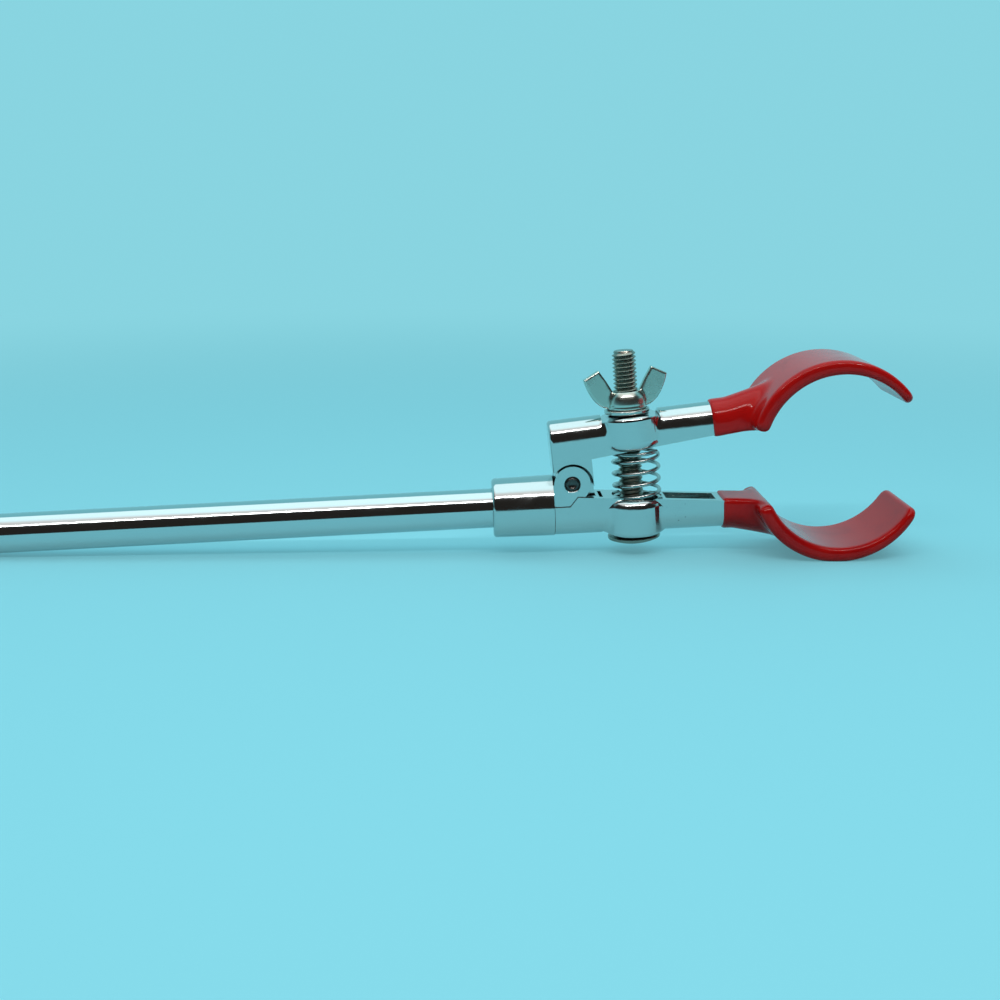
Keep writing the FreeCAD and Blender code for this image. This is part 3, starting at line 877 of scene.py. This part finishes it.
@dataclass
class CompressionSpring:
    """Coil of round wire whose end turns lie close together."""

    wire_radius: float = 0.5
    coil_radius: float = 5.75
    middle_x: float = 36.95
    middle_z: float = 6.6
    half_height: float = 6.56
    lean_deg: float = 1.0
    start_deg: float = -160.0
    closed_pitch: float = 1.06
    open_pitch: float = 3.04
    end_turns: float = 0.6
    steps: int = 56

    def sections(self) -> list[tuple[float, float]]:
        """Turns and pitch of each stretch of the coil, from the bottom up."""
        change = [(0.1, self.closed_pitch + (self.open_pitch - self.closed_pitch) * share)
                  for share in (0.1, 0.35, 0.65, 0.9)]
        ends = [(self.end_turns, self.closed_pitch)] + change
        used = 2 * sum(turns * pitch for turns, pitch in ends)
        middle = (2 * self.half_height - used) / self.open_pitch
        return ends + [(middle, self.open_pitch)] + ends[::-1]

    def build(self, finishes: Finishes) -> None:
        """Wind the spring and stretch it between the two jaws.

        Args:
            finishes: the clamp's materials.
        """
        mesh = bmesh.new()
        upright = Matrix.Translation(mm(self.coil_radius, 0, -self.half_height)) @ Matrix.Rotation(
            math.radians(90), 4, "X")
        ring = bmesh.ops.create_circle(mesh, segments=16, radius=self.wire_radius * MM, matrix=upright)
        geom = ring["verts"] + mesh.edges[:]
        for turns, pitch in self.sections():
            steps = max(2, round(turns * self.steps))
            spun_on = bmesh.ops.spin(mesh, geom=geom, cent=(0, 0, 0), axis=(0, 0, 1), angle=2 * math.pi * turns,
                                     steps=steps, dvec=(0, 0, pitch * turns * MM / steps))
            geom = spun_on["geom_last"]
        closed(mesh)
        place = Matrix.Translation(mm(self.middle_x, 0, self.middle_z)) @ Matrix.Rotation(
            math.radians(-self.lean_deg), 4, "Y") @ Matrix.Rotation(math.radians(self.start_deg), 4, "Z")
        piece = finish_object("compression_spring_wound", mesh, finishes.spring, place)
        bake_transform(piece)
        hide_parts("compression_spring")
        LOG.info("built %s", piece.name)


@dataclass
class GripCoat:
    """Soft dipped coat over a neck and its curved blade."""

    name: str
    node: str
    body: Body
    start_x: float
    place: Matrix | None = None
    axis_x: float = 87.3
    axis_z: float = 7.2
    inner_radius: float = 19.4
    back_radius: float = 21.95
    back_shift: tuple[float, float] = (-0.79, -1.13)
    start_deg: float = 201.23
    end_deg: float = 329.77
    width: float = 25.0
    corner: float = 2.6
    start_corner: float = 1.9
    edge: float = 1.15
    plate_thickness: float = 3.0
    neck_half: float = 5.7
    neck_back: float = -8.25
    neck_bite: float = 1.2
    rim_near: tuple[float, float] = (25.5, 3.0)
    rim_far: tuple[float, float] = (58.8, 0.6)
    flare_x: float = 61.0
    flare_depth: float = 4.6
    flare_slope: float = 0.2185
    flare_curl: float = 1.7
    flare_side: float = 0.36
    rim_side: float = 0.85
    rim_run: float = 4.0
    lip: float = 0.4
    lip_turn_in: float = 0.7
    voxel: float = 0.26
    stations: int = 14
    seam_depth: float = 3.4
    low_seam_depth: float = 0.8
    low_seam_z: float = -2.0
    seam_over_rim: float = 1.8
    seam_front: float = 4.0
    fillets: tuple[tuple[float, int], ...] = ((3.4, 50), (2.4, 40))
    first_passes: int = 5
    last_passes: int = 9

    @staticmethod
    def mirror() -> Matrix:
        """Reflection in the plane that the grip axis lies in."""
        return Matrix.Translation(mm(0, 0, 2 * GripCoat.axis_z)) @ Matrix.Scale(-1, 4, (0, 0, 1))

    def back_reach(self, angle: float) -> float:
        """Radius of the blade's back at an angle about the grip axis."""
        along = self.back_shift[0] * math.cos(angle) + self.back_shift[1] * math.sin(angle)
        offset = math.hypot(*self.back_shift)
        return along + math.sqrt(self.back_radius ** 2 - offset ** 2 + along ** 2)

    def blade(self) -> bmesh.types.BMesh:
        """Flat plate with rounded corners and edges, bent about the grip axis.

        Returns:
            A closed mesh in the lower jaw's place.
        """
        sweep = math.radians(self.end_deg - self.start_deg)
        length = sweep * (self.inner_radius + self.plate_thickness / 2)
        mesh = bmesh.new()
        bmesh.ops.create_cube(mesh, size=1.0)
        bmesh.ops.scale(mesh, vec=(length, self.width, self.plate_thickness), verts=mesh.verts)
        for side, corner in ((1, self.corner), (-1, self.start_corner)):
            upright = [edge for edge in mesh.edges if abs(edge.verts[0].co.z - edge.verts[1].co.z) > 1]
            tips = [edge for edge in upright if edge.verts[0].co.x * side > length / 3]
            bmesh.ops.bevel(mesh, geom=tips, offset=corner, segments=8, profile=0.5, affect="EDGES",
                            material=-1)
        sharp = [edge for edge in mesh.edges if edge.calc_face_angle(0.0) > math.radians(40)]
        bmesh.ops.bevel(mesh, geom=sharp, offset=self.edge, segments=5, profile=0.5, affect="EDGES",
                        material=-1)
        cuts = round(length)
        for step in range(1, cuts):
            bmesh.ops.bisect_plane(mesh, geom=mesh.verts[:] + mesh.edges[:] + mesh.faces[:], dist=1e-5,
                                   plane_co=(length * (step / cuts - 0.5), 0, 0), plane_no=(1, 0, 0))
        for vert in mesh.verts:
            angle = math.radians(self.start_deg) + (vert.co.x / length + 0.5) * sweep
            depth = vert.co.z / self.plate_thickness + 0.5
            reach = self.inner_radius + depth * (self.back_reach(angle) - self.inner_radius)
            x = self.axis_x + reach * math.cos(angle)
            vert.co = mm(x, vert.co.y, self.axis_z + reach * math.sin(angle))
        bmesh.ops.recalc_face_normals(mesh, faces=mesh.faces)
        return mesh

    def rim(self, x: float) -> float:
        """Height of the sleeve's flat top at a station."""
        slope = (self.rim_far[1] - self.rim_near[1]) / (self.rim_far[0] - self.rim_near[0])
        return self.rim_near[1] + (x - self.rim_near[0]) * slope

    def neck(self) -> bmesh.types.BMesh:
        """Sleeve with a round back, from its lip to inside the blade.

        Returns:
            A closed mesh in the lower jaw's place.
        """
        mesh = bmesh.new()
        bmesh.ops.create_circle(mesh, segments=64, radius=self.neck_half,
                                matrix=Matrix.Rotation(math.radians(90), 4, "Y"))
        bmesh.ops.spin(mesh, geom=mesh.verts[:] + mesh.edges[:], cent=(0, 0, 0), axis=(1, 0, 0), angle=0.0,
                       steps=self.stations, dvec=(1, 0, 0))
        round_z = self.neck_back + self.neck_half
        inside = self.inner_radius + self.neck_bite
        rim_end = self.rim(self.axis_x - self.inner_radius + self.rim_run)
        for vert in mesh.verts:
            station, across, up = vert.co
            share = max(0.0, (station - 2) / (self.stations - 2))
            low = up <= 1e-4
            end_z = round_z + up - self.flare_depth if low else rim_end
            end_x = self.axis_x - math.sqrt(inside ** 2 - (end_z - self.axis_z) ** 2)
            if station < 1.5:
                x = self.start_x + self.lip * round(station)
            else:
                x = self.flare_x + share * (end_x - self.flare_x)
            if low:
                drop = self.flare_slope * max(0.0, x - self.flare_x)
                z = round_z + up - drop - self.flare_curl * share ** 3
            else:
                over = max(0.0, abs(across) - (self.neck_half - self.edge))
                z = self.rim(x) - self.edge + math.sqrt(max(0.0, self.edge ** 2 - over ** 2))
            if station < 0.5:
                across *= 1 - self.lip * self.lip_turn_in / self.neck_half
                z += (round_z - z) * self.lip * self.lip_turn_in / self.neck_half
            across *= 1 + (self.flare_side if low else self.rim_side) * share ** 4
            vert.co = mm(x, across, z)
        return closed(mesh)

    def junction(self, reach: float) -> Callable[[Vector], bool]:
        """Choose what lies near the seam of neck and blade.

        Args:
            reach: how far from it, in millimetres.

        Returns:
            A test of a place in millimetres.
        """
        def near(at: Vector) -> bool:
            """Whether a place lies near the seam."""
            radius = math.hypot(at.x - self.axis_x, at.z - self.axis_z)
            back = self.back_reach(math.atan2(at.z - self.axis_z, at.x - self.axis_x))
            beside = abs(at.y) < self.neck_half + reach
            depth = self.seam_depth if at.z > self.low_seam_z else self.low_seam_depth
            behind = back - depth < radius < back + reach and at.z < self.rim(at.x) + self.seam_over_rim
            return beside and behind and at.x < self.axis_x - self.seam_front
        return near

    def build(self, finishes: Finishes) -> None:
        """Make the coat and set it on its jaw.

        Args:
            finishes: the clamp's materials.
        """
        skin = fused([self.blade(), self.neck()], self.voxel)
        smooth(skin, self.first_passes)
        for reach, passes in self.fillets:
            fill(skin, passes, self.junction(reach))
        smooth(skin, self.last_passes)
        piece = finish_object(self.name, skin, finishes.coat, self.place, 80.0)
        seat(piece, self.body, self.node)


@dataclass
class PhotoView:
    """Camera at the photograph's angle. Directions and place are in the clamp's frame."""

    focal_share: float = 1.5
    sensor: float = 36.0
    place: Point = (-9.474, -371.70, 87.63)
    right: Point = (0.99823, -0.04091, -0.04323)
    up: Point = (0.05129, 0.22273, 0.97353)
    back: Point = (-0.03020, -0.97402, 0.22443)

    def build(self) -> None:
        """Make the camera and select it for the scene."""
        data = bpy.data.cameras.new("photo_camera")
        data.sensor_width = self.sensor
        data.lens = self.focal_share * self.sensor
        data.clip_start = 0.01
        data.clip_end = 20.0
        camera = bpy.data.objects.new("photo_camera", data)
        turn = Matrix((self.right, self.up, self.back)).transposed().to_4x4()
        camera.matrix_world = Matrix.Translation(mm(*self.place)) @ turn
        bpy.context.scene.collection.objects.link(camera)
        bpy.context.scene.camera = camera


@dataclass(frozen=True)
class SoftLamp:
    """Rectangular area lamp, with its place, size and aim in metres."""

    name: str
    place: Point
    size: tuple[float, float]
    watts: float
    aim: Point

    def build(self) -> None:
        """Make the lamp and turn it to the point that it faces."""
        data = bpy.data.lights.new(self.name, "AREA")
        data.shape = "RECTANGLE"
        data.size, data.size_y = self.size
        data.energy = self.watts
        lamp = bpy.data.objects.new(self.name, data)
        lamp.location = self.place
        lamp.rotation_euler = (Vector(self.aim) - Vector(self.place)).to_track_quat("-Z", "Y").to_euler()
        bpy.context.scene.collection.objects.link(lamp)


@dataclass
class Studio:
    """Pale floor that runs on into the background, soft overhead lights and a dark room in front."""

    rod_end: Point = (-140.0, 0.0, -5.0)
    belly: Point = (87.3, 0.0, -15.6)
    floor_size: float = 8.0
    background: Colour = (0.25, 0.66, 0.75, 1.0)
    floor_colour: Colour = (0.275, 0.71, 0.81, 1.0)
    room_colour: Colour = (0.024, 0.022, 0.020, 1.0)
    near_lit: float = 0.62
    lit_fade: tuple[float, float] = (0.12, 0.65)
    floor_fade: tuple[float, float] = (-1.6, -0.35)
    room_fade: tuple[float, float] = (-0.22, 0.16)
    ceiling_fade: tuple[float, float] = (0.90, 0.99)
    lamps: tuple[SoftLamp, ...] = (
        SoftLamp("overhead_softbox", (0.03, -0.05, 0.55), (0.9, 0.68), 1.75, (0.03, 0.0, 0.0)),
        SoftLamp("front_strip", (0.06, -0.41, 0.55), (0.8, 0.035), 1.8, (0.06, 0.0, 0.0)))

    def tilt(self) -> Matrix:
        """Turn of the floor about Y, so that it touches the rod's end and the lower coat."""
        run = self.belly[0] - self.rod_end[0]
        rise = self.belly[2] - self.rod_end[2]
        return Matrix.Rotation(-math.atan2(rise, run), 4, "Y")

    def floor(self) -> None:
        """Make the floor, which shows the object's shadow near it and the plain background farther off."""
        mesh = bmesh.new()
        bmesh.ops.create_grid(mesh, x_segments=1, y_segments=1, size=self.floor_size / 2)
        material = bpy.data.materials.new("pale_floor")
        material.use_nodes = True
        nodes = NodeTree(material.node_tree)
        shader = material.node_tree.nodes["Principled BSDF"]
        shader.inputs["Base Color"].default_value = self.floor_colour
        shader.inputs["Roughness"].default_value = 0.6
        shader.inputs["Specular IOR Level"].default_value = 0.2
        place = nodes.add("TexCoord").outputs["Object"]
        away = nodes.add("VectorMath", {0: place}, operation="LENGTH").outputs["Value"]
        lit = nodes.span(away, *self.lit_fade, self.near_lit, 0.0)
        ray = nodes.add("LightPath").outputs
        mirrored = nodes.math("MAXIMUM", ray["Is Glossy Ray"], ray["Is Transmission Ray"])
        seen = nodes.math("MAXIMUM", ray["Is Camera Ray"], mirrored)
        front = nodes.span(nodes.add("SeparateXYZ", {0: place}).outputs["Y"], *self.floor_fade, 1.0, 0.0)
        colour = nodes.blend(nodes.math("MULTIPLY", mirrored, front), self.background, self.room_colour)
        glow = nodes.add("Emission", {"Color": colour, "Strength": 1.0})
        share = nodes.math("MULTIPLY", seen, nodes.math("SUBTRACT", 1.0, lit))
        mix = nodes.add("MixShader", {0: share, 1: shader.outputs[0], 2: glow.outputs[0]})
        nodes.feed(material.node_tree.nodes["Material Output"].inputs["Surface"], mix.outputs[0])
        floor = finish_object("floor", mesh, material, Matrix.Translation(mm(*self.belly)) @ self.tilt())

    def world(self) -> None:
        """Plain surroundings, with the dark side of the room behind the camera."""
        world = bpy.data.worlds.new("studio_world")
        bpy.context.scene.world = world
        world.use_nodes = True
        nodes = NodeTree(world.node_tree)
        shown = world.node_tree.nodes["Background"]
        parts = nodes.add("SeparateXYZ", {0: nodes.add("TexCoord").outputs["Generated"]}).outputs
        front = nodes.span(parts["Y"], *self.room_fade, 1.0, 0.0)
        dark = nodes.math("MULTIPLY", front, nodes.span(parts["Z"], *self.ceiling_fade, 1.0, 0.0))
        room = nodes.blend(dark, self.background, self.room_colour)
        ray = nodes.add("LightPath").outputs
        nodes.feed(shown.inputs["Color"], nodes.blend(ray["Is Camera Ray"], room, self.background))
        shown.inputs["Strength"].default_value = 1.0

    def build(self) -> None:
        """Make floor, lamps and world."""
        self.floor()
        for lamp in self.lamps:
            lamp.build()
        self.world()
        bpy.context.scene.view_settings.view_transform = "Standard"


def main() -> None:
    """Build the clamp's looks round its solids."""
    logging.basicConfig(level=logging.INFO)
    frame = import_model()
    nodes = frame["nodes"]
    finishes = Finishes.make()
    PhotoView().build()
    Studio().build()
    line = BoltLine()
    stance = HingeStance()
    dress(nodes["support_rod"], finishes.rod)
    for name in ("lower_jaw", "upper_jaw"):
        dress(nodes[name], finishes.casting)
    dress(nodes["flat_washer"], finishes.washer)
    GripCoat("lower_grip_coat_dipped", "lower_grip_coat", Body.FRAME, 58.3).build(finishes)
    GripCoat("upper_grip_coat_dipped", "upper_grip_coat", Body.UPPER_JAW, 56.8,
             stance.opened() @ GripCoat.mirror()).build(finishes)
    HingePin(stance).build(finishes)
    CompressionSpring().build(finishes)
    ClampBolt(line).build(finishes)
    WingNut(line).build(finishes)


if __name__ == "__main__":
    main()
